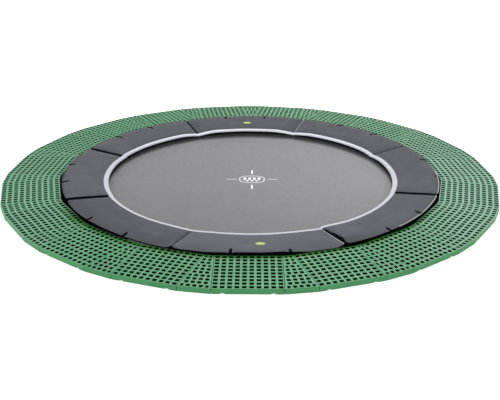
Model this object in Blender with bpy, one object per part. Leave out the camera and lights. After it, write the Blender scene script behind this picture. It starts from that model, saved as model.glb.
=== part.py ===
"""Ground-level trampoline with a ring of perforated safety tiles, in metres, +Z up.

The feet of the steel frame stand at z = 0 in the middle of the part. The front is towards -Y. Angles are
counted from the front, anticlockwise seen from above, so a positive angle turns towards +X.
"""

import math

import bmesh
import bpy
from mathutils import Matrix, Vector

# Driving dimensions
GAP = 0.0003  # between pieces that touch
TILE_SIDE = 0.500
TILE_THICKNESS = 0.042
TILE_COUNT = 19
RING_INNER_APOTHEM = 1.730  # middle of the ring to the inner edge of a square tile
TILE_SEAM = 0.0015
TILE_TOP = 0.380  # walking surface of the tiles above the feet
NOTCH_OFFSET = 0.175  # drain notches, to each side of a tile's middle
NOTCH_WIDTH = 0.030
NOTCH_HEIGHT = 0.007

PAD_COUNT = 8
PAD_TURN = math.radians(2.57)  # the seams sit this far round from the frame's own symmetry
PAD_OUTER_RADIUS = 1.715
PAD_INNER_RADIUS = 1.292
PAD_BORDER_RADIUS = 1.345  # where the flat top ends and the white border starts to fall
PAD_OUTER_RISE = 0.034  # above the tiles
PAD_BORDER_RISE = 0.004
PAD_SEAM = 0.006

MAT_RADIUS = 1.410
MAT_DROP = 0.062  # mat surface below the tiles' surface
MAT_THICKNESS = 0.004
MAT_HEM_WIDTH = 0.045
MAT_HEM_EXTRA = 0.002  # the webbing hem stands proud of the cloth on both faces

RAIL_COUNT = 4
RAIL_RADIUS = 1.630  # centreline
TUBE_RADIUS = 0.021
TUBE_SIDES = 12
RAIL_TOP = TILE_TOP - 0.045

LEG_BEND = 0.080
FOOT_SIZE = (0.160, 0.080, 0.004)
FOOT_OFFSET = 0.400  # along the base tube, to each side of its middle

SPRINGS_PER_BANK = 16
SPRING_RADIUS = 0.012
SPRING_INNER = 1.430
SPRING_OUTER = RAIL_RADIUS - TUBE_RADIUS - 0.004
RING_ROW_RADIUS = 1.429  # the row of V-rings that the springs hook into
RING_ROW_WIDTH = 0.008

# Worked-out sizes
FULL_TURN = 2 * math.pi
TILE_BOTTOM = TILE_TOP - TILE_THICKNESS
TILE_PITCH = FULL_TURN / TILE_COUNT
RAIL_HEIGHT = RAIL_TOP - TUBE_RADIUS
MAT_TOP = TILE_TOP - MAT_DROP
SPRING_HEIGHT = MAT_TOP - MAT_THICKNESS / 2
PAD_BOTTOM = RAIL_TOP + GAP
LEG_PLANE = RAIL_RADIUS * math.cos(math.pi / 8)
POST_OFFSET = RAIL_RADIUS * math.sin(math.pi / 8)
POST_TOP = RAIL_HEIGHT - TUBE_RADIUS / math.cos(math.pi / TUBE_SIDES) - GAP


def clear_scene():
    for old in list(bpy.data.objects):
        bpy.data.objects.remove(old, do_unlink=True)


def make_material(name, colour, roughness, metallic=0.0):
    material = bpy.data.materials.new(name)
    material.use_nodes = True
    shader = material.node_tree.nodes["Principled BSDF"]
    shader.inputs["Base Color"].default_value = (*colour, 1.0)
    shader.inputs["Roughness"].default_value = roughness
    shader.inputs["Metallic"].default_value = metallic
    return material


def direction(angle):
    """Unit vector from the middle at an angle counted from the front."""
    return Vector((math.sin(angle), -math.cos(angle), 0.0))


def add_object(name, mesh, material, turn=0.0):
    if not mesh.materials:
        mesh.materials.append(material)
    piece = bpy.data.objects.new(name, mesh)
    piece.rotation_euler.z = turn
    bpy.context.scene.collection.objects.link(piece)
    return piece


def mesh_from(builder, name, smooth_angle=None):
    """Finish a bmesh: normals out, then either flat or smooth with sharp edges kept."""
    bmesh.ops.recalc_face_normals(builder, faces=builder.faces)
    mesh = bpy.data.meshes.new(name)
    builder.to_mesh(mesh)
    builder.free()
    if smooth_angle is not None:
        mesh.shade_smooth()
        mesh.set_sharp_from_angle(angle=smooth_angle)
    return mesh


def extrude_outline(outline, low, high):
    """A prism on an outline of (x, y) points, from one height to another."""
    builder = bmesh.new()
    floor = builder.faces.new([builder.verts.new((x, y, low)) for x, y in outline])
    raised = bmesh.ops.extrude_face_region(builder, geom=[floor])
    lifted = [item for item in raised["geom"] if isinstance(item, bmesh.types.BMVert)]
    bmesh.ops.translate(builder, verts=lifted, vec=(0, 0, high - low))
    return builder


def sweep_rings(rings):
    """Skin a list of rings of points, all with the same count, and cap both ends."""
    builder = bmesh.new()
    loops = [[builder.verts.new(point) for point in ring] for ring in rings]
    for here, after in zip(loops, loops[1:]):
        for i in range(len(here)):
            j = (i + 1) % len(here)
            builder.faces.new((here[i], here[j], after[j], after[i]))
    builder.faces.new(loops[0])
    builder.faces.new(loops[-1])
    return builder


def turned_profile(profile, start, end, steps):
    """Rings of a closed (radius, height) profile, swept round the middle between two angles."""
    rings = []
    for step in range(steps + 1):
        outwards = direction(start + (end - start) * step / steps)
        rings.append([outwards * radius + Vector((0, 0, height)) for radius, height in profile])
    return rings


def tube_rings(path, radius, sides, across):
    """Rings round a path that lies in one plane; across is that plane's normal."""
    rings = []
    for i, point in enumerate(path):
        ahead = path[min(i + 1, len(path) - 1)] - path[max(i - 1, 0)]
        side = across.cross(ahead.normalized())
        ring = []
        for k in range(sides):
            angle = FULL_TURN * (k + 0.5) / sides
            ring.append(point + (side * math.cos(angle) + across * math.sin(angle)) * radius)
        rings.append(ring)
    return rings


def join_solid(piece, other):
    """Union another solid into a piece, which stays one closed body."""
    other.hide_render = True
    other.display_type = "WIRE"
    union = piece.modifiers.new("joined_" + other.name, "BOOLEAN")
    union.operation = "UNION"
    union.solver = "EXACT"
    union.object = other


def notched_tile_mesh():
    """A square tile as a slab, its inner edge towards the middle, with two drain notches under its outer edge."""
    half = TILE_SIDE / 2
    notch = NOTCH_WIDTH / 2
    section = [(-half, 0.0)]
    for middle in (-NOTCH_OFFSET, NOTCH_OFFSET):
        section += [(middle - notch, 0.0), (middle - notch, NOTCH_HEIGHT)]
        section += [(middle + notch, NOTCH_HEIGHT), (middle + notch, 0.0)]
    section += [(half, 0.0), (half, TILE_THICKNESS), (-half, TILE_THICKNESS)]
    rings = []
    for out in (RING_INNER_APOTHEM, RING_INNER_APOTHEM + TILE_SIDE):
        rings.append([Vector((x, -out, TILE_BOTTOM + z)) for x, z in section])
    return mesh_from(sweep_rings(rings), "safety_tile")


def wedge_tile_mesh():
    """A wedge that fills the angle between two square tiles, less the seams."""
    half_pitch = TILE_PITCH / 2
    corners = []
    for apothem in (RING_INNER_APOTHEM, RING_INNER_APOTHEM + TILE_SIDE):
        reach = math.hypot(apothem, TILE_SIDE / 2)
        angle = half_pitch - math.atan2(TILE_SIDE / 2, apothem)
        half_width = reach * math.sin(angle) - TILE_SEAM / math.cos(half_pitch)
        corners.append((half_width, reach * math.cos(angle)))
    (near_half, near_out), (far_half, far_out) = corners
    outline = [(-near_half, -near_out), (-far_half, -far_out), (far_half, -far_out), (near_half, -near_out)]
    return mesh_from(extrude_outline(outline, TILE_BOTTOM, TILE_TOP), "wedge_tile")


def add_tile_ring():
    square = notched_tile_mesh()
    wedge = wedge_tile_mesh()
    green = make_material("tile_green", (0.17, 0.45, 0.26), 0.75)
    for i in range(TILE_COUNT):
        add_object(f"safety_tile_{i + 1:02d}", square, green, turn=i * TILE_PITCH)
        add_object(f"wedge_tile_{i + 1:02d}", wedge, green, turn=(i + 0.5) * TILE_PITCH)


def add_edge_pads():
    """Padded covers over the springs and rails: highest at the outer edge, falling to a rounded inner border."""
    border = PAD_BORDER_RADIUS - PAD_INNER_RADIUS
    profile = [
        (PAD_OUTER_RADIUS, PAD_BOTTOM),
        (PAD_OUTER_RADIUS, TILE_TOP + 0.6 * PAD_OUTER_RISE),
        (PAD_OUTER_RADIUS - 0.015, TILE_TOP + PAD_OUTER_RISE),
        (PAD_BORDER_RADIUS, TILE_TOP + PAD_BORDER_RISE),
        (PAD_BORDER_RADIUS - 0.6 * border, TILE_TOP - 0.5 * PAD_BORDER_RISE),
        (PAD_INNER_RADIUS, TILE_TOP - 3.5 * PAD_BORDER_RISE),
        (PAD_INNER_RADIUS, TILE_TOP - 8.5 * PAD_BORDER_RISE),
        (PAD_BORDER_RADIUS - 0.6 * border, PAD_BOTTOM),
    ]
    half = math.pi / PAD_COUNT - PAD_SEAM / 2 / PAD_INNER_RADIUS
    rings = turned_profile(profile, -half, half, steps=12)
    mesh = mesh_from(sweep_rings(rings), "edge_pad", smooth_angle=math.radians(40))
    grey = make_material("pad_cover", (0.13, 0.135, 0.15), 0.6)
    for i in range(PAD_COUNT):
        add_object(f"edge_pad_{i + 1}", mesh, grey, turn=PAD_TURN + i * FULL_TURN / PAD_COUNT)


def add_jump_mat():
    """Woven disc with a thicker webbing hem, one closed solid of revolution."""
    hem_start = MAT_RADIUS - MAT_HEM_WIDTH
    bottom = MAT_TOP - MAT_THICKNESS
    upper = [(hem_start, MAT_TOP), (hem_start, MAT_TOP + MAT_HEM_EXTRA), (MAT_RADIUS, MAT_TOP + MAT_HEM_EXTRA)]
    lower = [(MAT_RADIUS, bottom - MAT_HEM_EXTRA), (hem_start, bottom - MAT_HEM_EXTRA), (hem_start, bottom)]
    steps = 96
    builder = bmesh.new()
    loops = []
    for radius, height in upper + lower:
        points = [direction(FULL_TURN * i / steps) * radius + Vector((0, 0, height)) for i in range(steps)]
        loops.append([builder.verts.new(point) for point in points])
    for here, after in zip(loops, loops[1:]):
        for i in range(steps):
            j = (i + 1) % steps
            builder.faces.new((here[i], here[j], after[j], after[i]))
    builder.faces.new(loops[0])
    builder.faces.new(loops[-1])
    mesh = mesh_from(builder, "jump_mat")
    cloth = make_material("mat_cloth", (0.22, 0.22, 0.235), 0.8)
    add_object("jump_mat", mesh, cloth)


def add_frame_rails(steel):
    """Curved tubes that meet end to end between the legs' posts and carry the springs' outer hooks."""
    half = math.pi / RAIL_COUNT - GAP / RAIL_RADIUS
    section = []
    for k in range(TUBE_SIDES):
        angle = FULL_TURN * (k + 0.5) / TUBE_SIDES
        reach = TUBE_RADIUS / math.cos(math.pi / TUBE_SIDES)
        section.append((RAIL_RADIUS + reach * math.cos(angle), RAIL_HEIGHT + reach * math.sin(angle)))
    rings = turned_profile(section, -half, half, steps=16)
    mesh = mesh_from(sweep_rings(rings), "frame_rail", smooth_angle=math.radians(40))
    for i in range(RAIL_COUNT):
        add_object(f"frame_rail_{i + 1}", mesh, steel, turn=(i + 0.5) * FULL_TURN / RAIL_COUNT)


def leg_path():
    """One U: down the left post, round a bend, along the ground and up the right post."""
    base = FOOT_SIZE[2] / 2 + TUBE_RADIUS
    bend_steps = 6
    half = [Vector((-POST_OFFSET, -LEG_PLANE, POST_TOP))]
    centre = Vector((-POST_OFFSET + LEG_BEND, -LEG_PLANE, base + LEG_BEND))
    for i in range(bend_steps + 1):
        angle = math.pi / 2 * i / bend_steps
        half.append(centre + Vector((-math.cos(angle), 0.0, -math.sin(angle))) * LEG_BEND)
    return half + [Vector((-point.x, point.y, point.z)) for point in reversed(half)]


def add_legs(steel):
    """Four bent tubes, each with two posts under the rails and two flat feet."""
    reach = TUBE_RADIUS / math.cos(math.pi / TUBE_SIDES)
    rings = tube_rings(leg_path(), reach, TUBE_SIDES, across=Vector((0, 1, 0)))
    tube = mesh_from(sweep_rings(rings), "u_leg", smooth_angle=math.radians(40))
    length, width, thickness = FOOT_SIZE
    for i in range(RAIL_COUNT):
        turn = i * FULL_TURN / RAIL_COUNT
        leg = add_object(f"u_leg_{i + 1}", tube, steel, turn)
        for side, label in ((-1, "left"), (1, "right")):
            middle = side * FOOT_OFFSET
            outline = [
                (middle + x * length / 2, y * width / 2 - LEG_PLANE)
                for x, y in ((-1, -1), (1, -1), (1, 1), (-1, 1))
            ]
            plate = mesh_from(extrude_outline(outline, 0.0, thickness), "foot_plate")
            join_solid(leg, add_object(f"foot_{label}_of_leg_{i + 1}", plate, steel, turn))


def spring_bodies_mesh():
    """The springs of one bank as plain cylinders that point at the middle."""
    builder = bmesh.new()
    length = SPRING_OUTER - SPRING_INNER
    for i in range(SPRINGS_PER_BANK):
        angle = ((i + 0.5) / SPRINGS_PER_BANK - 0.5) * FULL_TURN / RAIL_COUNT
        middle = direction(angle) * (SPRING_INNER + length / 2) + Vector((0, 0, SPRING_HEIGHT))
        place = Matrix.Translation(middle) @ Matrix.Rotation(angle, 4, "Z") @ Matrix.Rotation(math.pi / 2, 4, "X")
        bmesh.ops.create_cone(
            builder,
            cap_ends=True,
            segments=8,
            radius1=SPRING_RADIUS,
            radius2=SPRING_RADIUS,
            depth=length,
            matrix=place,
        )
    return mesh_from(builder, "spring_bodies", smooth_angle=math.radians(50))


def add_spring_banks(steel):
    """Springs hook from the rails to the row of V-rings, which holds each bank together as one solid."""
    half_width = RING_ROW_WIDTH / 2
    section = [
        (RING_ROW_RADIUS - half_width, SPRING_HEIGHT - half_width),
        (RING_ROW_RADIUS + RING_ROW_WIDTH, SPRING_HEIGHT - half_width),
        (RING_ROW_RADIUS + RING_ROW_WIDTH, SPRING_HEIGHT + half_width),
        (RING_ROW_RADIUS - half_width, SPRING_HEIGHT + half_width),
    ]
    half = math.pi / RAIL_COUNT * (1 - 0.5 / SPRINGS_PER_BANK)
    row = mesh_from(sweep_rings(turned_profile(section, -half, half, steps=15)), "ring_row")
    bodies = spring_bodies_mesh()
    for i in range(RAIL_COUNT):
        turn = (i + 0.5) * FULL_TURN / RAIL_COUNT
        bank = add_object(f"spring_bank_{i + 1}", row, steel, turn)
        join_solid(bank, add_object(f"springs_of_bank_{i + 1}", bodies, steel, turn))


def build():
    clear_scene()
    add_tile_ring()
    add_edge_pads()
    add_jump_mat()
    galvanised = make_material("galvanised_steel", (0.55, 0.56, 0.57), 0.4, metallic=1.0)
    add_frame_rails(galvanised)
    add_legs(galvanised)
    add_spring_banks(make_material("spring_steel", (0.60, 0.60, 0.60), 0.3, metallic=1.0))


build()
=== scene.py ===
"""Looks for the ground-level trampoline: safety tiles, padded edge, sprung mat and low steel frame.

Metres, +Z up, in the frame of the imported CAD. Angles are counted from the front (-Y), anticlockwise
seen from above, so a positive angle turns towards +X.
"""

from math import atan2, copysign, cos, exp, hypot, pi, radians, remainder, sin

import bmesh
import bpy
import numpy as np
from mathutils import Matrix, Vector, noise
from mathutils.bvhtree import BVHTree


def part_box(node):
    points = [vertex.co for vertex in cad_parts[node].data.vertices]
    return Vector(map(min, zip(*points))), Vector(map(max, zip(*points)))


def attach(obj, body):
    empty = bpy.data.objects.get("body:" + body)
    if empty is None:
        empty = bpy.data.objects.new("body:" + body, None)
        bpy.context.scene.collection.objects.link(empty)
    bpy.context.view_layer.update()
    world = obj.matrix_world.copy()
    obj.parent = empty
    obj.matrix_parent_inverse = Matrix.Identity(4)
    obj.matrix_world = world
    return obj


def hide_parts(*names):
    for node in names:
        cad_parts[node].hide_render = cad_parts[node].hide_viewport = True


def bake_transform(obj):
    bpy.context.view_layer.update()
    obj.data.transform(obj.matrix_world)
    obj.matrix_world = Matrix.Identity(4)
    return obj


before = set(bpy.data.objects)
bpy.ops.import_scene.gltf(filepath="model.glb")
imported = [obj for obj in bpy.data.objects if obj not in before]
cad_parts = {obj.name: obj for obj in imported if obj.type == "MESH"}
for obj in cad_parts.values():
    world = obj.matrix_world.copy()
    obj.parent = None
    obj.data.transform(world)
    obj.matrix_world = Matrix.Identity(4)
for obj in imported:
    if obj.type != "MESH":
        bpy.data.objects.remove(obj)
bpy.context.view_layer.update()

FULL_TURN = 2 * pi

# Tiles, from the CAD
TILE_LOW, TILE_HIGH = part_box("safety_tile_01")
TILE_BOTTOM, TILE_TOP = TILE_LOW.z, TILE_HIGH.z
TILE_SIDE = TILE_HIGH.x - TILE_LOW.x
RING_INNER, RING_OUTER = -TILE_HIGH.y, -TILE_LOW.y
TILE_COUNT = sum(name.startswith("safety_tile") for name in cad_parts)
TILE_PITCH = FULL_TURN / TILE_COUNT
TILE_SEAM = 0.0015
SEAM_TRIM = 0.0012  # each tile stops this far short of its CAD edge, so that the seams show
HOLES_ACROSS = 10
HOLE = 0.0322
WEDGE_HOLE, WEDGE_PITCH = 0.0288, 0.0455
PLATE = 0.013  # thickness of the perforated top plate
SKIRT = 0.010
NOTCH_OFFSET, NOTCH_WIDTH, NOTCH_HEIGHT = 0.175, 0.030, 0.007

# Edge pads
PAD_COUNT = 8
HALF_PAD = FULL_TURN / 2 / PAD_COUNT  # half of one pad's angle
PAD_TURN = radians(2.57)
PAD_OUTER = 1.713
PAD_INNER = 1.349
PAD_SHIFT = 0.004  # the ring of pads lies this far towards +X
PAD_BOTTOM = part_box("edge_pad_1")[0].z + 0.002
PAD_RIM = TILE_TOP + 0.027
PAD_FALL = 0.032  # the top falls this much from the outer edge to the border
FRONT_SAG = (0.0060, 0.0040)  # pads lie lower in front and higher behind, at the outer edge and the border
BORDER_INNER = 1.305
# How much more the border rolls over in front, at the left of the front, and round both front quarters
BORDER_DROOP = (0.0052, 0.0034, 0.0060)
QUARTER, QUARTER_SPREAD = radians(58), radians(18)

# Mat, springs and frame
MAT_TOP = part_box("jump_mat")[1].z - 0.002
MAT_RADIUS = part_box("jump_mat")[1].x
MAT_THICK = 0.003
MAT_UNDER = MAT_TOP - MAT_THICK
HEM_WIDTH = 0.045
MARK_OFFSET = (0.018, -0.020)  # the print isn't quite central
SPRING_COUNT = 64
SPRING_COIL = 0.011
WIRE = 0.0016
RAIL_RADIUS = 1.630
TUBE_RADIUS = 0.021
RAIL_FACE = RAIL_RADIUS - TUBE_RADIUS
SPRING_HEIGHT = MAT_TOP - MAT_THICK / 2


def place(radius, angle, height):
    """A point at a radius and an angle from the front."""
    return Vector((radius * sin(angle), -radius * cos(angle), height))


def polar(point):
    """The radius, angle from the front and height of a point."""
    x, y, z = point
    return hypot(x, y), atan2(x, -y), z


def turns(count):
    """Even angles, once round."""
    return [FULL_TURN * k / count for k in range(count)]


def squared_off(angle, power):
    """A point of the unit circle, squared off by a power under 1."""
    return [copysign(abs(part) ** power, part) for part in (cos(angle), sin(angle))]


def smooth(value, low, high):
    t = min(max((value - low) / (high - low), 0.0), 1.0)
    return t * t * (3 - 2 * t)


class Shape:
    """Collects closed bodies into one mesh."""

    def __init__(self):
        self.points, self.faces, self.kinds = [], [], []

    def sweep(self, rings, closed=False, kind=0):
        """Skin rings of points. kind is a material index, or one index for each side of a ring."""
        count, start = len(rings[0]), len(self.points)
        for ring in rings:
            self.points.extend(ring)
        kinds = kind if hasattr(kind, "__len__") else [kind] * count
        for row in range(len(rings) if closed else len(rings) - 1):
            here, after = start + row * count, start + (row + 1) % len(rings) * count
            for i in range(count):
                j = (i + 1) % count
                self.faces.append((here + i, here + j, after + j, after + i))
                self.kinds.append(kinds[i])
        if not closed:
            last = start + (len(rings) - 1) * count
            self.faces.append(tuple(start + i for i in reversed(range(count))))
            self.faces.append(tuple(last + i for i in range(count)))
            self.kinds.extend([kinds[0], kinds[0]])
        return self

    def tube(self, path, radius, sides=8, closed=False, kind=0):
        """A round wire or tube along a path."""
        path = [Vector(point) for point in path]
        count = len(path)
        normal = None
        rings = []
        for i, point in enumerate(path):
            before = path[i - 1] if i or closed else path[i]
            after = path[(i + 1) % count] if i < count - 1 or closed else path[i]
            ahead = (after - before).normalized()
            if normal is None:
                normal = ahead.orthogonal().normalized()
            normal = (normal - ahead * normal.dot(ahead)).normalized()
            across = ahead.cross(normal)
            arms = [normal * cos(t) + across * sin(t) for t in turns(sides)]
            rings.append([point + arm * radius for arm in arms])
        return self.sweep(rings, closed, kind)

    def prism(self, outline, low, high, kind=0):
        rings = [[Vector((x, y, z)) for x, y in outline] for z in (low, high)]
        return self.sweep(rings, kind=kind)

    def mesh(self, smooth_angle=None):
        """All bodies as one mesh, flat, or smooth except at edges sharper than smooth_angle degrees."""
        mesh = bpy.data.meshes.new("shape")
        mesh.from_pydata([tuple(point) for point in self.points], [], self.faces)
        mesh.polygons.foreach_set("material_index", self.kinds)
        builder = bmesh.new()
        builder.from_mesh(mesh)
        bmesh.ops.recalc_face_normals(builder, faces=builder.faces)
        builder.to_mesh(mesh)
        builder.free()
        if smooth_angle is not None:
            mesh.shade_smooth()
            mesh.set_sharp_from_angle(angle=radians(smooth_angle))
        return mesh


def add_object(name, mesh, materials=(), turn=0.0):
    """An object in the scene. Its mesh takes its name, unless the mesh is shared."""
    if not mesh.users:
        mesh.name = name
    for material in materials:
        mesh.materials.append(material)
    piece = bpy.data.objects.new(name, mesh)
    piece.rotation_euler.z = turn
    bpy.context.scene.collection.objects.link(piece)
    return piece


def baked(piece):
    """The piece's mesh with its modifiers applied; the piece itself goes."""
    bpy.context.view_layer.update()
    graph = bpy.context.evaluated_depsgraph_get()
    mesh = bpy.data.meshes.new_from_object(piece.evaluated_get(graph), depsgraph=graph)
    bpy.data.objects.remove(piece, do_unlink=True)
    return mesh


# ---- materials


class Surface:
    """A procedural material round one Principled shader."""

    def __init__(self, name, roughness, metallic=0.0, specular=0.5):
        self.material = bpy.data.materials.new(name)
        self.material.use_nodes = True
        self.tree = self.material.node_tree
        self.shader = self.tree.nodes["Principled BSDF"]
        values = {"Roughness": roughness, "Metallic": metallic, "Specular IOR Level": specular}
        for socket, value in values.items():
            self.shader.inputs[socket].default_value = value
        self.height = None

    def node(self, kind, **values):
        made = self.tree.nodes.new(kind)
        for name, value in values.items():
            if name in made.inputs.keys():
                made.inputs[name].default_value = value
            else:
                setattr(made, name, value)
        return made

    def link(self, output, target):
        self.tree.links.new(output, target)

    def coords(self, world=False, squeeze=(1.0, 1.0, 1.0)):
        """World or object coordinates, stretched along an axis if need be."""
        source = self.node("ShaderNodeNewGeometry").outputs["Position"]
        if not world:
            source = self.node("ShaderNodeTexCoord").outputs["Object"]
        mapping = self.node("ShaderNodeMapping", Scale=squeeze)
        self.link(source, mapping.inputs["Vector"])
        return mapping.outputs["Vector"]

    def noise(self, where, scale, detail=3.0, roughness=0.5):
        made = self.node("ShaderNodeTexNoise", Scale=scale, Detail=detail, Roughness=roughness)
        self.link(where, made.inputs["Vector"])
        return made.outputs["Fac"]

    def cells(self, where, scale):
        made = self.node("ShaderNodeTexVoronoi", Scale=scale)
        self.link(where, made.inputs["Vector"])
        return made.outputs["Distance"]

    def bands(self, where, scale, axis):
        made = self.node("ShaderNodeTexWave", Scale=scale, bands_direction=axis)
        self.link(where, made.inputs["Vector"])
        return made.outputs["Fac"]

    def math(self, operation, first, second):
        made = self.node("ShaderNodeMath", operation=operation)
        for socket, value in zip(made.inputs, (first, second)):
            if isinstance(value, (int, float)):
                socket.default_value = value
            else:
                self.link(value, socket)
        return made.outputs[0]

    def times(self, first, second):
        return self.math("MULTIPLY", first, second)

    def radius(self, x, y):
        return self.math("SQRT", self.math("ADD", self.times(x, x), self.times(y, y)), 0.0)

    def between(self, amount, low, high, to_low=0.0, to_high=1.0):
        limits = {"From Min": low, "From Max": high, "To Min": to_low, "To Max": to_high}
        made = self.node("ShaderNodeMapRange", **limits)
        self.link(amount, made.inputs["Value"])
        return made.outputs["Result"]

    def patches(self, where, scale, detail=3.0, spread=(0.3, 0.7), to=(0.0, 1.0)):
        """Noise whose values within the spread run from one limit to the other."""
        return self.between(self.noise(where, scale, detail), *spread, *to)

    def mix(self, amount, first, second, blend="MIX"):
        """Colours are three numbers or an output of another node."""
        made = self.node("ShaderNodeMix", data_type="RGBA", blend_type=blend)
        for socket, value in ((made.inputs[0], amount), (made.inputs[6], first), (made.inputs[7], second)):
            if isinstance(value, (int, float)):
                socket.default_value = value
            elif isinstance(value, tuple):
                socket.default_value = (*value, 1.0)
            else:
                self.link(value, socket)
        return made.outputs[2]

    def scaled(self, colour, factor):
        """The colour times a factor."""
        combined = self.node("ShaderNodeCombineColor")
        for socket in combined.inputs:
            self.link(factor, socket)
        return self.mix(1.0, colour, combined.outputs[0], "MULTIPLY")

    def axes(self, where):
        split = self.node("ShaderNodeSeparateXYZ")
        self.link(where, split.inputs[0])
        return split.outputs

    def colour(self, output):
        self.link(output, self.shader.inputs["Base Color"])

    def roughness(self, output):
        self.link(output, self.shader.inputs["Roughness"])

    def bump(self, height, distance, strength=1.0):
        made = self.node("ShaderNodeBump", Distance=distance, Strength=strength)
        self.link(height, made.inputs["Height"])
        if self.height is not None:
            self.link(self.height, made.inputs["Normal"])
        self.height = made.outputs["Normal"]
        self.link(self.height, self.shader.inputs["Normal"])


def tile_surface(name, light, dark, sheen_left, sheen_right, specular):
    """Moulded rubber: soft mottling, a fine grain, each tile a touch lighter or darker.

    It is paler at the sides of the ring and palest at the right, a painted sheen, and beside the front pads
    it is dark with painted shade, and matt.
    """
    look = Surface(name, 0.6, specular=specular)
    where = look.coords(world=True)
    x, y, _ = look.axes(where)
    colour = look.mix(look.patches(where, 5.0, 4.0, (0.35, 0.65)), light, dark)
    # Painted sheen: paler towards the sides of the ring, palest at the right, fading towards the back
    painted_sheen = look.between(look.math("ABSOLUTE", x, 0.0), 1.1, 1.8)
    painted_sheen = look.times(painted_sheen, look.between(y, 0.2, 1.2, 1.0, 0.3))
    colour = look.mix(painted_sheen, colour, look.mix(look.between(x, -1.0, 1.0), sheen_left, sheen_right))
    specks = look.patches(where, 420.0, 1.0, (0.62, 0.72))
    colour = look.mix(look.times(specks, 0.35), colour, tuple(0.5 * c for c in light))
    own = look.node("ShaderNodeObjectInfo").outputs["Random"]
    colour = look.scaled(colour, look.between(own, 0.0, 1.0, 0.94, 1.05))
    radius = look.math("ADD", look.radius(x, y), look.times(x, 0.012))
    # Painted shade in front of the front pads: a green shadow over the first rows, and a near-black contact
    # shadow at the tiles' inner edge
    in_front = look.between(y, -1.1, -0.6, 1.0, 0.0)
    beside_pads = look.between(radius, RING_INNER + 0.030, RING_INNER + 0.082, 1.0, 0.0)
    beside_pads = look.times(beside_pads, in_front)
    colour = look.mix(beside_pads, colour, SHADED_GREEN)
    painted_contact_shadow = look.between(radius, RING_INNER - 0.004, RING_INNER + 0.014, 1.0, 0.0)
    look.colour(look.mix(look.times(painted_contact_shadow, in_front), colour, CONTACT_SHADOW_BLACK))
    roughness = look.patches(where, 30.0, to=(0.42, 0.60))
    look.roughness(look.math("MAXIMUM", roughness, beside_pads))
    look.bump(look.noise(where, 700.0, 2.0), 0.0006)
    return look.material


def recess_surface():
    """Inside of a tile's holes: green at the lip, painted lighter towards the back left, and painted shade
    near black below.
    """
    look = Surface("tile_recess_painted_light_and_shade", 0.9, specular=0.02)
    where = look.coords(world=True)
    x, y, z = look.axes(where)
    lip = look.between(z, TILE_TOP - 0.008, TILE_TOP - 0.001)
    # Painted shade: the walls near black deeper in the holes
    deep = look.mix(look.noise(where, 18.0), (0.001, 0.003, 0.001), (0.003, 0.008, 0.004))
    # Painted light: the lip greener and brighter towards the back left, darker towards the front right
    back_left = look.between(look.math("SUBTRACT", y, look.times(x, 0.6)), 0.0, 1.3)
    lit = look.mix(back_left, (0.007, 0.028, 0.011), (0.030, 0.125, 0.044))
    look.colour(look.mix(lip, deep, lit))
    look.bump(look.noise(where, 300.0), 0.0008)
    return look.material


def cover_surface(name, light, dark, roughness, specular, painted_light_tint=None):
    """Coated cloth: a fine pebble grain over a faint weave, with soft handling marks.

    painted_light_tint gives where along Y its tint of painted light and shade starts and stops changing, and
    the tint in front and behind.
    """
    look = Surface(name, roughness, specular=specular)
    where = look.coords(world=True)
    colour = look.mix(look.patches(where, 3.0, 4.0), light, dark)
    weave = look.coords(world=True, squeeze=(1.0, 1.0, 0.4))
    threads = look.patches(weave, 900.0, 2.0, to=(0.0, 0.25))
    colour = look.mix(threads, colour, tuple(0.6 * c for c in dark))
    # Painted light and shade: a tint that changes from front to back
    if painted_light_tint:
        start, end, front, back = painted_light_tint
        tint = look.mix(look.between(look.axes(where)[1], start, end), front, back)
        colour = look.mix(1.0, colour, tint, "MULTIPLY")
    look.colour(colour)
    look.roughness(look.patches(where, 9.0, 4.0, to=(roughness - 0.07, roughness + 0.07)))
    look.bump(look.noise(where, 14.0), 0.002, 0.07)
    look.bump(look.cells(where, 650.0), 0.0005, 0.4)
    return look.material


def net_surface(name, wear_and_painted_light_colour=(0.022, 0.022, 0.030), foot=None):
    """Black open net with worn threads, turning to the foot colour, if there is one, just above the mat:
    painted light there. On the net in the front gap the worn threads are painted light too.
    """
    look = Surface(name, 0.95, specular=0.02)
    where = look.coords(world=True)
    threads = look.cells(where, 260.0)
    worn = look.patches(where, 55.0, spread=(0.55, 0.75), to=(0.0, 0.8))
    dark = look.mix(look.between(threads, 0.15, 0.6), (0.006, 0.006, 0.008), (0.002, 0.002, 0.002))
    # Worn threads in their own colour, which on the net in the front gap is painted light
    colour = look.mix(worn, dark, wear_and_painted_light_colour)
    if foot:
        # Painted light: the net lighter just above the mat
        low = look.between(look.axes(where)[2], MAT_TOP + 0.030, MAT_TOP + 0.004)
        colour = look.mix(look.math("POWER", low, 1.3), colour, foot)
    look.colour(colour)
    look.bump(threads, 0.001)
    return look.material


def webbing_surface(name, light, dark):
    look = Surface(name, 0.95, specular=0.03)
    where = look.coords()
    ribs = look.bands(where, 160.0, "DIAGONAL")
    look.colour(look.mix(look.patches(where, 40.0, to=(0.0, 0.4)), look.mix(ribs, dark, light), dark))
    look.bump(ribs, 0.0006)
    return look.material


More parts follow.
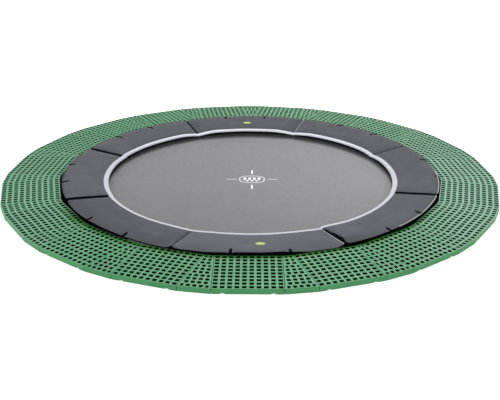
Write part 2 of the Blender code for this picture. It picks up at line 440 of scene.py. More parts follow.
def mat_surface():
    """Woven cloth with soft streaks, with painted light and shade: a painted highlight at the right, lighter
    at both sides, painted shade in front and a painted shadow round its rim.
    """
    look = Surface("mat_cloth", 0.5, specular=0.35)
    flat = look.coords(squeeze=(1.0, 1.0, 0.0))
    warp, weft = look.bands(flat, 130.0, "X"), look.bands(flat, 130.0, "Y")
    weave = look.math("MAXIMUM", warp, look.times(weft, 0.9))
    patches = look.between(look.noise(flat, 2.2, 5.0, 0.6), 0.3, 0.7)
    colour = look.mix(patches, (0.137, 0.135, 0.145), (0.123, 0.122, 0.131))
    streaks = look.patches(look.coords(squeeze=(1.0, 14.0, 0.0)), 6.0, 3.0, (0.35, 0.65), (0.0, 0.25))
    colour = look.mix(streaks, colour, (0.151, 0.149, 0.157))
    x, y, _ = look.axes(flat)
    # Painted highlight: lighter towards the right
    colour = look.mix(look.between(x, -0.6, 1.4, 0.0, 0.5), colour, (0.210, 0.208, 0.216))
    # Painted shade: darker towards the front
    colour = look.scaled(colour, look.between(y, -1.3, -0.1, 0.72, 1.0))
    # Painted light: lighter towards both sides
    colour = look.scaled(colour, look.between(look.math("ABSOLUTE", x, 0.0), 0.3, 1.1, 1.0, 1.10))
    # Painted shadow of the border round the rim, reaching further in at the back
    rim = look.between(look.radius(x, look.math("ADD", y, 0.04)), 1.22, 1.36)
    colour = look.scaled(colour, look.between(look.math("POWER", rim, 1.6), 0.0, 1.0, 1.0, 0.45))
    look.colour(look.mix(look.times(weave, 0.25), colour, (0.100, 0.100, 0.108)))
    look.roughness(look.patches(flat, 25.0, to=(0.46, 0.56)))
    look.bump(look.noise(flat, 5.0), 0.006, 0.25)
    look.bump(weave, 0.0004, 0.6)
    return look.material


def print_surface(name, colour):
    look = Surface(name, 0.5)
    where = look.coords()
    worn = look.patches(where, 160.0, 4.0, (0.55, 0.75), (0.0, 0.5))
    look.colour(look.mix(worn, colour, tuple(0.7 * c for c in colour)))
    look.bump(look.noise(where, 500.0), 0.0003)
    return look.material


def steel_surface(name, light, dark, spangle, roughness):
    """Zinc on steel: a patchwork of crystals and dull patches."""
    look = Surface(name, roughness, metallic=1.0)
    where = look.coords()
    crystals = look.cells(where, spangle)
    colour = look.mix(look.between(crystals, 0.1, 0.6), light, dark)
    dull = look.patches(where, 12.0, 5.0, (0.4, 0.7))
    look.colour(look.mix(look.times(dull, 0.5), colour, dark))
    look.roughness(look.between(dull, 0.0, 1.0, roughness - 0.08, roughness + 0.15))
    look.bump(crystals, 0.0004, 0.4)
    return look.material


# Painted shade: the green of the front pads' shadow on the tiles and the near black of their contact shadow
SHADED_GREEN, CONTACT_SHADOW_BLACK = (0.010, 0.130, 0.006), (0.001, 0.002, 0.001)
TOP_GREENS = (0.055, 0.302, 0.117), (0.045, 0.265, 0.100), (0.112, 0.335, 0.186), (0.160, 0.375, 0.250)
# Painted shade: darker greens for the tiles' outer sides
SHADED_SIDE_GREENS = (0.058, 0.240, 0.096), (0.048, 0.206, 0.080), (0.060, 0.240, 0.096), (0.060, 0.240, 0.096)
TILE_MATERIALS = (
    tile_surface("tile_green", *TOP_GREENS, 0.32),
    tile_surface("tile_side_painted_shade", *SHADED_SIDE_GREENS, 0.2),
    recess_surface(),
)
# Painted light in front and painted shade behind: the pads lighter and bluer towards the front
PAD_PAINTED_LIGHT = (-PAD_OUTER, PAD_OUTER, (1.15, 1.20, 1.26), (0.91, 0.91, 0.93))
PAD_TONES = (1.0, 0.89, 0.91, 0.97, 1.0, 0.99, 0.98, 0.76)  # some pads are paler than others
PAD_GREYS = (0.096, 0.098, 0.111), (0.092, 0.094, 0.106)
PAD_COVERS = []
for number, tone in enumerate(PAD_TONES, 1):
    greys = [tuple(tone * part for part in grey) for grey in PAD_GREYS]
    PAD_COVERS.append(cover_surface(f"pad_cover_{number}", *greys, 0.72, 0.12, PAD_PAINTED_LIGHT))
# Painted shade in front and painted light behind: the white border darker in front, lighter at the back
BORDER_PAINTED_LIGHT = (0.3, 1.2, (0.74, 0.74, 0.75), (1.04, 1.04, 1.05))
WHITES = (0.76, 0.78, 0.86), (0.72, 0.74, 0.82)
BORDER_WHITE = cover_surface("border_white", *WHITES, 0.6, 0.3, BORDER_PAINTED_LIGHT)
PIPING = cover_surface("piping_grey", (0.17, 0.17, 0.18), (0.14, 0.14, 0.15), 0.6, 0.2)
# Painted light: a lighter copy of the grey piping where light catches the welts
LIT_PIPING = cover_surface("piping_painted_light", (0.50, 0.48, 0.49), (0.44, 0.42, 0.43), 0.6, 0.2)
NET = net_surface("black_net")
# Painted light: pale worn threads on the end net in the front gap, where little light reaches
PAINTED_LIGHT_NET = net_surface("end_net_painted_light", wear_and_painted_light_colour=(0.260, 0.260, 0.360))
# Painted light: the skirt net turns grey at its foot, just above the mat
SKIRT_NET = net_surface("skirt_net", foot=(0.095, 0.093, 0.100))
WEBBING = webbing_surface("black_webbing", (0.004, 0.004, 0.0045), (0.002, 0.002, 0.0022))
HEM_WEBBING = webbing_surface("hem_webbing", (0.030, 0.030, 0.033), (0.014, 0.014, 0.016))
MAT_CLOTH = mat_surface()
MARK_WHITE = print_surface("mark_white", (0.80, 0.80, 0.82))
LABEL_GREEN = print_surface("label_green", (0.27, 0.33, 0.008))
LABEL_PALE = print_surface("label_pale", (0.56, 0.60, 0.36))
GALVANISED = steel_surface("galvanised_steel", (0.60, 0.61, 0.63), (0.42, 0.43, 0.45), 90.0, 0.42)
SPRING_STEEL = steel_surface("spring_steel", (0.66, 0.66, 0.67), (0.50, 0.50, 0.52), 300.0, 0.28)


# ---- safety tiles

EASED = 0.0012
TOP_BAND, SIDE_BAND = 0.0013, 0.0015  # faces this near the top, or near an outer side, belong to it
HOLE_SPAN = (TILE_BOTTOM - 0.01, TILE_TOP + 0.01)
POCKET_SPAN = (TILE_BOTTOM - 0.02, TILE_TOP - PLATE)
NOTCH_SPAN = (TILE_BOTTOM - 0.03, TILE_BOTTOM + NOTCH_HEIGHT)


def cut(name, outline, cutters):
    """A slab on an outline, less each set of prisms, with its edges eased."""
    slab = add_object(name, Shape().prism(outline, TILE_BOTTOM, TILE_TOP).mesh())
    tools = []
    for outlines, span in cutters:
        shape = Shape()
        for corners in outlines:
            shape.prism(corners, *span)
        tool = add_object(f"{name}_cutter", shape.mesh())
        difference = slab.modifiers.new("cut", "BOOLEAN")
        difference.operation, difference.solver, difference.object = "DIFFERENCE", "EXACT", tool
        tools.append(tool)
    eased = slab.modifiers.new("eased", "BEVEL")
    eased.width, eased.segments = EASED, 1
    eased.limit_method, eased.angle_limit = "ANGLE", radians(50)
    mesh = baked(slab)
    for tool in tools:
        bpy.data.objects.remove(tool, do_unlink=True)
    return mesh


def paint_tile(mesh, outline):
    """Top and eased edges green, outer sides a darker green that paints their shade, everything inside the
    tile in painted shadow.
    """
    edges = [(Vector((*a, 0)), Vector((*b, 0))) for a, b in zip(outline, outline[1:] + outline[:1])]
    for face in mesh.polygons:
        centre = face.center
        flat = Vector((centre.x, centre.y, 0))
        off = min(abs((b - a).normalized().cross(flat - a).z) for a, b in edges)
        if centre.z > TILE_TOP - TOP_BAND:
            face.material_index = 0
        elif off < SIDE_BAND:
            face.material_index = 1
        else:
            face.material_index = 2
    return mesh


def square(x, y, half_x, half_y):
    return [(x + i * half_x, y + j * half_y) for i, j in ((-1, -1), (1, -1), (1, 1), (-1, 1))]


def square_tile_mesh():
    """A square tile, its holes on an even grid and its underside open between ribs."""
    pitch = TILE_SIDE / HOLES_ACROSS
    middle = (RING_INNER + RING_OUTER) / 2
    spots = [(i + 0.5 - HOLES_ACROSS / 2) * pitch for i in range(HOLES_ACROSS)]
    pairs = [(spots[i] + spots[i + 1]) / 2 for i in range(0, HOLES_ACROSS, 2)]
    reach, deep = pitch - SKIRT, SKIRT + 0.004
    holes = [square(x, y - middle, HOLE / 2, HOLE / 2) for x in spots for y in spots]
    pockets = [square(x, y - middle, reach, reach) for x in pairs for y in pairs]
    notches = [square(x, -RING_OUTER, NOTCH_WIDTH / 2, deep) for x in (-NOTCH_OFFSET, NOTCH_OFFSET)]
    cutters = (holes, HOLE_SPAN), (pockets, POCKET_SPAN), (notches, NOTCH_SPAN)
    outline = square(0.0, -middle, TILE_SIDE / 2 - SEAM_TRIM, TILE_SIDE / 2)
    return paint_tile(cut("square_tile", outline, cutters), outline)


def wedge_tile_mesh():
    """A wedge tile, its rows of holes in line with its neighbours' and cut short where its sides close in."""
    ends = []
    for apothem in (RING_INNER, RING_OUTER):
        reach = hypot(apothem, TILE_SIDE / 2)
        angle = TILE_PITCH / 2 - atan2(TILE_SIDE / 2, apothem)
        ends.append((reach * sin(angle) - TILE_SEAM - SEAM_TRIM, reach * cos(angle)))
    (near_half, near), (far_half, far) = ends
    pitch = (far - near) / HOLES_ACROSS

    def half_width(out):
        return near_half + (far_half - near_half) * (out - near) / (far - near)

    holes, pockets = [], []
    for row in range(HOLES_ACROSS):
        out = near + (row + 0.5) * pitch
        reach = half_width(out) - 0.014
        count = 1 + int((2 * reach - 0.005) / WEDGE_PITCH)
        for i in range(count):
            x = (i + 0.5 - count / 2) * WEDGE_PITCH
            left, right = max(x - WEDGE_HOLE / 2, -reach), min(x + WEDGE_HOLE / 2, reach)
            holes.append(square((left + right) / 2, -out, (right - left) / 2, HOLE / 2))
        if row % 2:
            close, beyond = out - 1.5 * pitch + SKIRT / 2, out + 0.5 * pitch - SKIRT / 2
            a, b = half_width(close) - SKIRT * 0.6, half_width(beyond) - SKIRT * 0.6
            pockets.append([(-b, -beyond), (b, -beyond), (a, -close), (-a, -close)])
    outline = [(-far_half, -far), (far_half, -far), (near_half, -near), (-near_half, -near)]
    return paint_tile(cut("wedge_tile", outline, ((holes, HOLE_SPAN), (pockets, POCKET_SPAN))), outline)


def add_tiles():
    for label, mesh, shift in (("safety", square_tile_mesh(), 0.0), ("wedge", wedge_tile_mesh(), 0.5)):
        for material in TILE_MATERIALS:
            mesh.materials.append(material)
        for i in range(TILE_COUNT):
            tile = add_object(f"perforated_{label}_tile_{i + 1:02d}", mesh, turn=(i + shift) * TILE_PITCH)
            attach(tile, "frame")
            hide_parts(f"{label}_tile_{i + 1:02d}")


# ---- edge pads

# How each seam looks, counted from the seam between pads 1 and 2, in metres: the gap at the mat and at the
# outer edge, and how far the end of the pad before it and the start of the pad after it lie above even.
SEAMS = (
    (0.012, 0.026, -0.009, 0.028),
    (0.034, 0.034, -0.005, 0.003),
    (0.004, 0.005, -0.018, -0.015),
    (0.006, 0.006, -0.018, -0.020),
    (0.016, 0.016, -0.022, -0.022),
    (0.034, 0.034, 0.002, -0.006),
    (0.034, 0.044, 0.004, -0.006),
    (0.007, 0.006, -0.009, -0.009),
)
DIP_REACH, RISE_REACH, JOIN_REACH = 0.200, 0.300, 0.032
# The tables below count pads from 0. First, how far an outer edge hangs at its start, middle and end
EDGE_SAG = {0: (0.013, 0.0, 0.020), 1: (0.004, 0.0, 0.0), 6: (0.0, 0.0, 0.011), 7: (0.018, 0.013, 0.020)}
PAINTED_LIGHT_NET_PAD = 1  # the pad whose start shows net in the front gap with pale worn threads, painted light
LIT_WELT_SPANS = {1: (-0.2, 1.0), 2: (-1.0, -0.1)}  # where an outer welt is painted light, in shares of half a pad
LIT_WELT_ENDS = (0, 3)  # pads whose last end shows a welt painted light
WELTS = (0.0022, 0.0046, 0.0018, 0.0038)  # radius of a grey welt, a welt painted light, a covered welt and an end welt painted light
WELT_KINDS = (0, 1, 2, 1)  # and the material of each
STRAP_TURN = radians(7.6)
STRAP_FOOT = 0.345
STRAP_ASIDE, STRAP_BEHIND, STRAP_PULL = 0.028, 0.055, 0.006  # how far a strap's dent reaches, and its depth
# How far in from its edge the two straps of each pad reach, in metres
STRAPS = (
    (0.048, 0.034), (0.050, 0.058), (0.034, 0.056), (0.080, 0.080),
    (0.090, 0.090), (0.095, 0.095), (0.058, 0.056), (0.046, 0.048),
)
STRAP_LAGS = {0: radians(0.45), 5: radians(0.7), 6: radians(0.9)}  # set further round
# The front and the back pad's label: its radius, how far round it sits, its length and its width
LABELS = {0: (1.573, radians(0.59), 0.075, 0.058), 4: (1.485, radians(-0.7), 0.083, 0.045)}


def pad_top(radius):
    """Height of a pad's flat top before it is stuffed."""
    return PAD_RIM - PAD_FALL * (PAD_OUTER - radius) / (PAD_OUTER - PAD_INNER)


def pad_angles(steps):
    return [HALF_PAD * (2 * i / steps - 1) for i in range(steps + 1)]


def inflate(piece, frames, limit):
    """Blow the cover up a little with a cloth simulation, and keep it near the foam inside."""
    scene = bpy.context.scene
    cloth = piece.modifiers.new("cover", "CLOTH")
    settings = cloth.settings
    settings.quality = 4
    settings.mass = 0.3
    settings.tension_stiffness = settings.compression_stiffness = 12
    settings.bending_stiffness = 2
    settings.use_pressure = True
    settings.uniform_pressure_force = 4
    settings.effector_weights.gravity = 0
    cloth.point_cache.frame_start, cloth.point_cache.frame_end = 1, frames
    for step in range(1, frames + 1):
        scene.frame_set(step)
    graph = bpy.context.evaluated_depsgraph_get()
    count = len(piece.data.vertices)
    start, moved = np.empty(count * 3), np.empty(count * 3)
    piece.data.vertices.foreach_get("co", start)
    piece.evaluated_get(graph).data.vertices.foreach_get("co", moved)
    piece.modifiers.remove(cloth)
    scene.frame_set(1)
    start, moved = start.reshape(-1, 3), moved.reshape(-1, 3)
    shift = moved - start
    length = np.linalg.norm(shift, axis=1, keepdims=True)
    return start, shift * np.minimum(1.0, limit / np.maximum(length, 1e-9))


def stuffed_pad_mesh():
    """One pad, remeshed evenly and blown up, its welded edges kept crisp."""
    profile = [
        (PAD_OUTER, PAD_BOTTOM),
        (PAD_OUTER, PAD_RIM - 0.006),
        (PAD_OUTER - 0.006, PAD_RIM),
        (PAD_INNER, pad_top(PAD_INNER)),
        (PAD_INNER, PAD_BOTTOM + 0.010),
        (PAD_INNER + 0.020, PAD_BOTTOM),
    ]
    rings = [[place(radius, angle, height) for radius, height in profile] for angle in pad_angles(48)]
    raw = add_object("pad_blank", Shape().sweep(rings).mesh())
    remesh = raw.modifiers.new("even", "REMESH")
    remesh.mode, remesh.voxel_size, remesh.use_smooth_shade = "VOXEL", 0.008, True
    piece = add_object("pad_cloth", baked(raw))
    start, shift = inflate(piece, 16, 0.016)
    radius = np.hypot(start[:, 0], start[:, 1])
    angle = np.arctan2(start[:, 0], -start[:, 1])
    to_side = np.minimum(PAD_OUTER - radius, radius - PAD_INNER)
    edge = np.minimum(to_side, (HALF_PAD - np.abs(angle)) * radius)
    ease = np.clip(edge / 0.070, 0.0, 1.0)
    ease = ease * ease * (3 - 2 * ease)
    crown = np.clip(edge / 0.16, 0.0, 1.0)
    rise = 0.006 * (1 - (1 - crown) ** 2) * (start[:, 2] > PAD_BOTTOM + 0.02)
    done = start + shift * (0.15 + 0.85 * ease[:, None]) * 0.35
    done[:, 2] += rise
    done[:, 2] = np.maximum(done[:, 2], PAD_BOTTOM)
    piece.data.vertices.foreach_set("co", done.ravel())
    finer = piece.modifiers.new("finer", "SUBSURF")
    finer.levels = finer.render_levels = 1
    mesh = baked(piece)
    mesh.shade_smooth()
    return mesh


def settle(index, radius, angle, height, joined=False):
    """Where a point of an even pad ends up: seams trimmed, ends lifted or dipped, straps pulled down.

    A joined piece runs on into the next pad's, so it isn't trimmed, and its higher end comes down to meet
    the lower one at the seam.
    """
    inwards = min(max((PAD_OUTER - radius) / (PAD_OUTER - PAD_INNER), 0.0), 1.0)
    width = 2 * HALF_PAD * radius
    ends = (angle + HALF_PAD) * radius, (HALF_PAD - angle) * radius
    trims, lifted, near = [], 0.0, 1.0
    for seam, own, distance in ((SEAMS[index - 1], 3, ends[0]), (SEAMS[index], 2, ends[1])):
        trims.append(0.0 if joined else (seam[1] + (seam[0] - seam[1]) * inwards) / 2)
        lift, meeting = seam[own], min(seam[2], seam[3])
        if joined:
            lift = meeting + (lift - meeting) * smooth(distance, 0.0, JOIN_REACH)
        if seam[own] > 0:
            lifted += lift * (1 - smooth(distance, 0.0, RISE_REACH))
        else:
            lifted += lift * (1 - min(max(distance / DIP_REACH, 0.0), 1.0)) ** 1.5
        near *= smooth(distance, -0.010, 0.060)
    lifted *= (1.1 - 0.85 * inwards) * smooth(inwards, -0.03, 0.22) if lifted > 0 else 0.35 + 0.55 * inwards
    along = trims[0] + (width - trims[0] - trims[1]) * ends[0] / width
    wave = 0.0016 * near * noise.noise(Vector((radius * 6.0, angle * 11.0, 7.3 * index)))
    pull = 0.0
    for spot in strap_angles(index):
        aside, behind = (angle - spot) * radius / STRAP_ASIDE, (PAD_OUTER - radius) / STRAP_BEHIND
        pull += exp(-aside * aside - behind * behind)
    here = angle + PAD_TURN + index * FULL_TURN / PAD_COUNT
    lean = -(FRONT_SAG[0] + (FRONT_SAG[1] - FRONT_SAG[0]) * inwards) * cos(here)
    first, middle, last = EDGE_SAG.get(index, (0.0, 0.0, 0.0))
    towards = angle / HALF_PAD
    at_start, at_end = smooth(-towards, 0.25, 0.62), smooth(towards, 0.25, 0.62)
    hang = middle + (first - middle) * at_start + (last - middle) * at_end
    hang *= near * (1 - smooth(PAD_OUTER - radius, 0.0, 0.14))
    shift = lean + lifted + wave - hang - STRAP_PULL * pull - border_droop(radius, here)
    share = smooth(height, PAD_BOTTOM, PAD_BOTTOM + 0.030)
    return place(radius, along / radius - HALF_PAD, height + shift * share)


def border_droop(radius, here):
    """How far the border has rolled over, at an angle from the front."""
    front, left, quarter = BORDER_DROOP
    past = max(0.0, (PAD_INNER - radius) / (PAD_INNER - BORDER_INNER))
    in_front, at_left = smooth(cos(here), 0.0, 0.5), smooth(-sin(here), -0.1, 0.4)
    aside = (abs(remainder(here, FULL_TURN)) - QUARTER) / QUARTER_SPREAD
    return past * past * (in_front * (front + left * at_left) + quarter * exp(-aside * aside))


def strap_angles(index):
    lag = STRAP_LAGS.get(index, 0.0)
    return lag - STRAP_TURN, lag + STRAP_TURN


def pad_mesh(blank, index):
    """A copy of the stuffed pad with its own seams, and black net on its outer wall and ends."""
    mesh = blank.copy()
    for vertex in mesh.vertices:
        vertex.co = settle(index, *polar(vertex.co))
    kinds = np.zeros(len(mesh.polygons), np.int32)
    for face in blank.polygons:
        radius, angle, z = polar(face.center)
        outer = radius > PAD_OUTER - 0.006 and z < PAD_RIM - 0.001
        end = (HALF_PAD - abs(angle)) * radius < 0.004 and z < pad_top(radius) - 0.004
        if end and angle < 0:
            kinds[face.index] = 2
        elif outer or end or z < PAD_BOTTOM + 0.004:
            kinds[face.index] = 1
    mesh.polygons.foreach_set("material_index", kinds)
    return mesh


BORDER_LINE = (
    (PAD_INNER + 0.002, -0.0015),
    (PAD_INNER - 0.001, 0.0),
    (PAD_INNER - 0.018, 0.0),
    (PAD_INNER - 0.034, -0.0012),
    (BORDER_INNER + 0.004, -0.0035),
    (BORDER_INNER + 0.001, -0.0095),
    (BORDER_INNER, -0.0155),
)
SKIRT_LOW = MAT_TOP + 0.004


def border_mesh(index):
    """White border sewn to the pad's inner edge, rolled over towards the mat, with a black skirt under it."""
    level = pad_top(PAD_INNER)
    outer = [(radius, level + drop) for radius, drop in BORDER_LINE]
    outer += [(BORDER_INNER + 0.0005, outer[-1][1] - 0.004), (BORDER_INNER + 0.001, SKIRT_LOW)]
    inner = [(radius + 0.003, height - 0.003) for radius, height in outer[:-1]]
    inner.append((BORDER_INNER + 0.004, SKIRT_LOW))
    section = outer + inner[::-1]
    whites = len(BORDER_LINE) - 1
    kinds = [0] * whites + [1] * (len(section) - whites)
    rings = []
    for angle in pad_angles(96):
        ring = [settle(index, radius, angle, height, joined=True) for radius, height in section]
        for point, (radius, height) in zip(ring, section):
            if height <= SKIRT_LOW:
                point.z = SKIRT_LOW
        rings.append(ring)
    return Shape().sweep(rings, kind=kinds).mesh(50)


def piping_mesh(index):
    """A welt round the outer top edge of a pad and in along both of its ends, painted light in places."""
    edge, across, steps = HALF_PAD - 0.0005, 10, 96
    start, end = PAD_INNER + 0.010, PAD_OUTER - 0.012
    turn = 0.012 / PAD_OUTER
    low, high = LIT_WELT_SPANS.get(index, (2.0, 2.0))
    last = 3 if index in LIT_WELT_ENDS else 2
    spots = [(start + (end - start) * k / across, -edge, 2) for k in range(across + 1)]
    spots.append((PAD_OUTER - 0.004, -edge + 0.3 * turn, 2))
    for k in range(steps + 1):
        share = 2 * k / steps - 1
        spots.append((PAD_OUTER - 0.0005, (edge - turn) * share, 1 if low <= share <= high else 0))
    spots.append((PAD_OUTER - 0.004, edge - 0.3 * turn, last))
    spots += [(end - (end - start) * k / across, edge, last) for k in range(across + 1)]
    shape, first = Shape(), 0
    for i in range(1, len(spots) + 1):
        if i < len(spots) and spots[i][2] == spots[first][2]:
            continue
        path = [settle(index, r, angle, pad_top(r) - 0.0010) for r, angle, _ in spots[first : i + 1]]
        welt = spots[first][2]
        shape.tube(path, WELTS[welt], 8, kind=WELT_KINDS[welt])
        first = i
    return shape.mesh(60)


def flap_mesh(index):
    """The lining of a cover's skirt, turned out below the pad's outer edge near its last seam."""
    steps, rings = 40, []
    for k in range(steps + 1):
        angle = STRAP_TURN + radians(1.5) + (HALF_PAD - STRAP_TURN - radians(2.2)) * k / steps
        swell = sin(pi * k / steps) ** 0.6
        top, foot = PAD_RIM - 0.014, PAD_RIM - 0.015 - 0.008 * swell
        line = [(PAD_OUTER + 0.001, top), (PAD_OUTER + 0.002 + 0.006 * swell, foot)]
        line += [(PAD_OUTER + 0.001 + 0.005 * swell, foot - 0.002), (PAD_OUTER - 0.002, top - 0.003)]
        rings.append([settle(index, radius, angle, height) for radius, height in line])
    return Shape().sweep(rings).mesh(50)


def cover_height(tree, radius, angle):
    """Height of the stuffed cover, before it is settled on one pad."""
    hit = tree.ray_cast(place(radius, angle, 1.0), Vector((0, 0, -1)))[0]
    return hit.z if hit else pad_top(radius)


def add_strap(shape, index, spot, length, tree):
    """A webbing tab sewn on the pad's top, over its edge and down behind the net."""
    on_top = 8
    line = [PAD_OUTER - length * (1 - k / on_top) for k in range(on_top)]
    line = [(radius, cover_height(tree, radius, spot) + 0.0006) for radius in line]
    line += [(PAD_OUTER + 0.003, PAD_RIM + 0.003), (PAD_OUTER + 0.0065, PAD_RIM - 0.020)]
    line.append((PAD_OUTER + 0.0065, STRAP_FOOT))
    rings = []
    for k, (radius, height) in enumerate(line):
        half = 0.0090 + 0.0040 * min(k / on_top, 1.0)
        out, up = (0.0, 0.002) if k < on_top else (0.002, 0.0)
        corners = ((-half, 0, 0), (half, 0, 0), (half, out, up), (-half, out, up))
        ring = [(radius + o, spot + side / radius, height + u) for side, o, u in corners]
        rings.append([settle(index, *point) for point in ring])
    shape.sweep(rings)


def straps_mesh(index, tree):
    shape = Shape()
    for spot, length in zip(strap_angles(index), STRAPS[index]):
        add_strap(shape, index, spot, length, tree)
    return shape.mesh()


def stitches_mesh(index, tree):
    """A row of stitches just inside each long edge of a cover."""
    shape, count = Shape(), 96
    for radius in (PAD_INNER + 0.010, PAD_OUTER - 0.014):
        for k in range(count):
            middle = 0.97 * HALF_PAD * (2 * (k + 0.5) / count - 1)
            path = []
            for side, lift in ((-1, -0.0003), (0, 0.0006), (1, -0.0003)):
                angle = middle + side * 0.0035 / radius
                path.append(settle(index, radius, angle, cover_height(tree, radius, angle) + lift))
            shape.tube(path, 0.0006, 4)
    return shape.mesh()


def label_mesh(index, tree):
    """A plain rounded patch sewn on a pad, with a pale bar woven into it."""
    radius, aside, length, width = LABELS[index]
    shape = Shape()
    layers = (length, width, 0.0012), (0.62 * length, 0.34 * width, 0.0020)
    for kind, (long, wide, lift) in enumerate(layers):
        outline = []
        for turn in turns(40):
            along, out = squared_off(turn, 0.6)
            spot = radius + wide / 2 * out
            angle = aside + long / 2 * along / radius
            outline.append(settle(index, spot, angle, cover_height(tree, spot, angle) + lift))
        shape.sweep([[point - Vector((0, 0, 0.004)) for point in outline], outline], kind=kind)
    return shape.mesh()


def add_pad_piece(name, index, mesh, materials):
    """A piece of one pad, turned to its place, that stays with the frame."""
    turn = PAD_TURN + index * FULL_TURN / PAD_COUNT
    piece = add_object(f"pad_{name}_{index + 1}", mesh, materials, turn)
    piece.location.x = PAD_SHIFT
    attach(piece, "frame")
    return piece


def add_pads():
    blank = stuffed_pad_mesh()
    points = [vertex.co for vertex in blank.vertices]
    tree = BVHTree.FromPolygons(points, [face.vertices for face in blank.polygons])
    for index in range(PAD_COUNT):
        end_net = PAINTED_LIGHT_NET if index == PAINTED_LIGHT_NET_PAD else NET
        cover = add_pad_piece("cover", index, pad_mesh(blank, index), (PAD_COVERS[index], NET, end_net))
        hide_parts(f"edge_pad_{index + 1}")
        border = add_pad_piece("border", index, border_mesh(index), (BORDER_WHITE, SKIRT_NET))
        add_pad_piece("piping", index, piping_mesh(index), (PIPING, LIT_PIPING, PAD_COVERS[index]))
        add_pad_piece("straps", index, straps_mesh(index, tree), (WEBBING,))
        add_pad_piece("stitches", index, stitches_mesh(index, tree), (PIPING,))
        if index in LABELS:
            add_pad_piece("label", index, label_mesh(index, tree), (LABEL_GREEN, LABEL_PALE))
        if index == PAD_COUNT - 1:
            add_pad_piece("flap", index, flap_mesh(index), (PIPING,))


# ---- mat and springs


def bowl(piece):
    """Bakes the piece's placement into its mesh and reads its points, which nothing then uses."""
    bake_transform(piece)
    count = len(piece.data.vertices)
    points = np.empty(count * 3)
    piece.data.vertices.foreach_get("co", points)
    points = points.reshape(-1, 3)


def disc_rings(radii, height):
    return [[place(radius, turn, height) for turn in turns(192)] for radius in radii]


def mat_mesh():
    """The cloth, closed above and below."""
    radii = [0.004 + (MAT_RADIUS - 0.006 - 0.004) * (i / 44) for i in range(45)]
    return Shape().sweep(disc_rings(radii, MAT_TOP) + disc_rings(radii, MAT_UNDER)[::-1]).mesh(40)


def hem_mesh():
    """Folded webbing round the rim, above and below the cloth, with two rows of stitches."""
    start, end = MAT_RADIUS - HEM_WIDTH, MAT_RADIUS
    top, bottom = MAT_TOP + 0.0018, MAT_UNDER - 0.0018
    line = [(start, MAT_TOP + 0.0002), (start + 0.001, top), (end - 0.002, top), (end, SPRING_HEIGHT)]
    line += [(end - 0.002, bottom), (start + 0.001, bottom), (start, MAT_UNDER - 0.0002)]
    line += [(end - 0.005, MAT_UNDER - 0.0002), (end - 0.005, MAT_TOP + 0.0002)]
    rings = [[place(radius, turn, height) for radius, height in line] for turn in turns(192)]
    shape = Shape().sweep(rings, closed=True)
    stitches, bend = 520, ((-1, 0), (0, 0.0009), (1, 0))
    span = FULL_TURN / stitches * 0.32
    for row in (0.25, 0.75):
        radius = start + HEM_WIDTH * row
        for middle in turns(stitches):
            path = [place(radius, middle + side * span, top + up) for side, up in bend]
            shape.tube(path, 0.0007, 4, kind=1)
    return shape.mesh(40)


def spring_angle(index):
    return (index + 0.5) * FULL_TURN / SPRING_COUNT


def v_rings_mesh():
    """A triangular wire ring for each spring, sewn into the hem."""
    shape = Shape()
    for index in range(SPRING_COUNT):
        angle = spring_angle(index)
        spots = ((-0.012, -0.012), (-0.012, 0.012), (0.020, 0.0015), (0.020, -0.0015))
        corners = [place(MAT_RADIUS + out, angle + aside, SPRING_HEIGHT - 0.001) for out, aside in spots]
        shape.tube(corners, 0.0017, 6, closed=True)
    return shape.mesh(60)


def spring_path(angle):
    """Hook over the ring, close coils, and a long hook into the rail."""
    inner, outer = MAT_RADIUS + 0.034, RAIL_FACE - 0.034
    coils, per_turn = 26, 10
    hook = ((0.024, -0.006), (0.016, -0.0045), (0.0135, 0.0), (0.016, 0.0045), (0.024, 0.004))
    path = [(MAT_RADIUS + out, 0.0, up) for out, up in hook]
    for k in range(coils * per_turn + 1):
        turn = FULL_TURN * k / per_turn
        out = inner + (outer - inner) * k / (coils * per_turn)
        path.append((out, SPRING_COIL * sin(turn), SPRING_COIL * cos(turn)))
    path.append((outer + 0.010, 0.0, 0.004))
    path += [(RAIL_FACE + out, 0.0, up) for out, up in ((-0.010, 0.0), (0.001, -0.001), (0.004, -0.008))]
    side, out = place(1.0, angle + FULL_TURN / 4, 0.0), place(1.0, angle, 0.0)
    return [out * r + side * s + Vector((0, 0, SPRING_HEIGHT + up)) for r, s, up in path]


def springs_mesh(bank):
    shape = Shape()
    per_bank = SPRING_COUNT // 4
    for index in range(bank * per_bank, (bank + 1) * per_bank):
        shape.tube(spring_path(spring_angle(index)), WIRE, 5)
    return shape.mesh(80)


def mark_mesh():
    """Plain print in the middle of the mat: a rounded ring, two short rows of blocks and four dashes."""
    shape = Shape()
    low, high = MAT_TOP + 0.0002, MAT_TOP + 0.0006
    half_x, half_y, line = 0.119, 0.091, 0.0085
    rings = []
    for turn in turns(72):
        x, y = squared_off(turn, 0.75)
        outer, inner = (half_x * x, half_y * y), ((half_x - line) * x, (half_y - line) * y)
        corners = (outer, low), (outer, high), (inner, high), (inner, low)
        rings.append([Vector((*spot, z)) for spot, z in corners])
    shape.sweep(rings, closed=True)
    rows = (0.016, 0.030, (-0.066, -0.022, 0.022, 0.066)), (-0.037, 0.013, (-0.044, 0.0, 0.044))
    for y, half_high, places in rows:
        for x in places:
            shape.prism(square(x, y, 0.0125, half_high), low, high)
    dash_out = 0.189
    for x, y in ((1, 0), (-1, 0), (0, 1), (0, -1)):
        halves = (0.046, 0.0045) if x else (0.0075, 0.052)
        shape.prism(square(x * dash_out, y * dash_out, *halves), low, high)
    mesh = shape.mesh()
    mesh.transform(Matrix.Translation((*MARK_OFFSET, 0.0)))
    return mesh


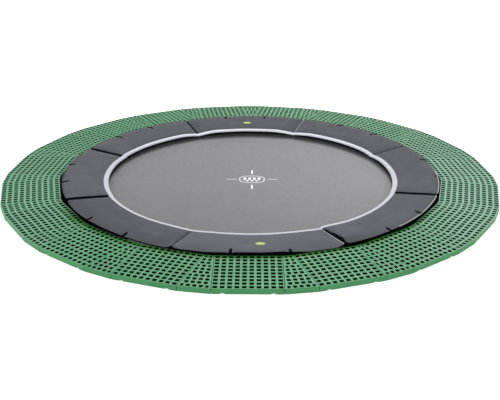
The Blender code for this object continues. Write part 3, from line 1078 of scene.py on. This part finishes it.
def add_mat():
    cloth = add_object("jump_mat_cloth", mat_mesh(), (MAT_CLOTH,))
    hem = add_object("mat_hem", hem_mesh(), (HEM_WEBBING, WEBBING))
    mark = add_object("mat_mark", mark_mesh(), (MARK_WHITE,))
    rings = add_object("mat_v_rings", v_rings_mesh(), (SPRING_STEEL,))
    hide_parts("jump_mat")
    for piece in (cloth, hem, mark, rings):
        bowl(piece)
    for bank in range(4):
        springs = add_object(f"coil_springs_{bank + 1}", springs_mesh(bank), (SPRING_STEEL,))
        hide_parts(f"spring_bank_{bank + 1}")
        bowl(springs)


def finish_frame():
    """The rails and legs keep their CAD shape and get galvanised steel."""
    for name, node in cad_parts.items():
        if name.startswith(("frame_rail", "u_leg")):
            node.data.materials.clear()
            node.data.materials.append(GALVANISED)


# ---- stage, light and camera


def add_stage():
    """A pale floor level with the tiles' undersides, and soil under them and in a pit for the frame, painted
    near black as shade.
    """
    pit, soil_edge, far = RING_INNER - 0.010, RING_OUTER - 0.008, 60.0
    ground = TILE_BOTTOM - 0.0005
    steps = 128
    rings = [(0.01, -0.003), (pit, -0.003), (pit, ground), (soil_edge, ground), (far, ground)]
    points, faces, kinds = [], [], []
    for radius, height in rings:
        points += [place(radius, turn, height) for turn in turns(steps)]
    for row in range(len(rings) - 1):
        for k in range(steps):
            j = (k + 1) % steps
            faces.append((row * steps + k, row * steps + j, (row + 1) * steps + j, (row + 1) * steps + k))
            kinds.append(0 if row == len(rings) - 2 else 1)
    mesh = bpy.data.meshes.new("ground")
    mesh.from_pydata([tuple(p) for p in points], [], faces)
    mesh.polygons.foreach_set("material_index", kinds)
    pale = Surface("pale_floor", 0.9, specular=0.1)
    tone = pale.noise(pale.coords(world=True), 0.4)
    pale.colour(pale.mix(tone, (0.90, 0.90, 0.90), (0.92, 0.92, 0.92)))
    pale.shader.inputs["Emission Color"].default_value = (1, 1, 1, 1)
    pale.shader.inputs["Emission Strength"].default_value = 0.55
    # Painted shade: the soil near black where it lies in shade under the tiles and in the pit
    soil = Surface("soil_painted_dark", 0.95, specular=0.1)
    where = soil.coords(world=True)
    soil.colour(soil.mix(soil.noise(where, 25.0), (0.004, 0.004, 0.004), (0.012, 0.012, 0.011)))
    soil.bump(soil.noise(where, 60.0), 0.004)
    floor = add_object("ground", mesh, (pale.material, soil.material))


def add_light():
    scene = bpy.context.scene
    world = bpy.data.worlds.new("studio")
    scene.world = world
    world.use_nodes = True
    nodes, links = world.node_tree.nodes, world.node_tree.links
    direction, split = nodes.new("ShaderNodeTexCoord"), nodes.new("ShaderNodeSeparateXYZ")
    strength = nodes.new("ShaderNodeMapRange")
    links.new(direction.outputs["Generated"], split.inputs[0])
    links.new(split.outputs["Z"], strength.inputs["Value"])
    # As pale as the floor at the horizon, softer overhead
    for socket, value in (("From Min", 0.20), ("From Max", 0.32), ("To Min", 1.05), ("To Max", 0.79)):
        strength.inputs[socket].default_value = value
    background = nodes["Background"]
    background.inputs["Color"].default_value = (1.0, 1.0, 1.0, 1.0)
    links.new(strength.outputs["Result"], background.inputs["Strength"])
    lamps = ("key", (0.12, 1.0, 0.80), 1.3, 30), ("fill", (-1.0, -0.35, 0.45), 0.5, 60)
    for name, towards, energy, spread in lamps:
        lamp = bpy.data.lights.new(name, "SUN")
        lamp.energy, lamp.angle = energy, radians(spread)
        light = bpy.data.objects.new(name, lamp)
        light.rotation_mode = "QUATERNION"
        light.rotation_quaternion = Vector(towards).to_track_quat("Z", "Y")
        scene.collection.objects.link(light)
    scene.view_settings.view_transform = "Standard"
    scene.view_settings.look = "None"


CAMERA_LENS = 57.62
CAMERA_TURN, CAMERA_TILT, CAMERA_ROLL = radians(0.311), radians(90 - 22.621), radians(0.200)
CAMERA_SPOT = (0.0, -6.982, TILE_TOP + 2.630)


def add_camera():
    """The photo's camera, fitted to the corners of the tiles."""
    scene = bpy.context.scene
    data = bpy.data.cameras.new("camera")
    data.sensor_width = 36.0
    data.lens = CAMERA_LENS
    data.clip_end = 200.0
    camera = bpy.data.objects.new("camera", data)
    turn = Matrix.Rotation(CAMERA_TURN, 4, "Z")
    tilt = Matrix.Rotation(CAMERA_TILT, 4, "X")
    roll = Matrix.Rotation(CAMERA_ROLL, 4, "Z")
    camera.matrix_world = turn @ Matrix.Translation(CAMERA_SPOT) @ tilt @ roll
    scene.collection.objects.link(camera)
    scene.camera = camera


add_camera()
add_stage()
add_light()
add_tiles()
add_pads()
add_mat()
finish_frame()
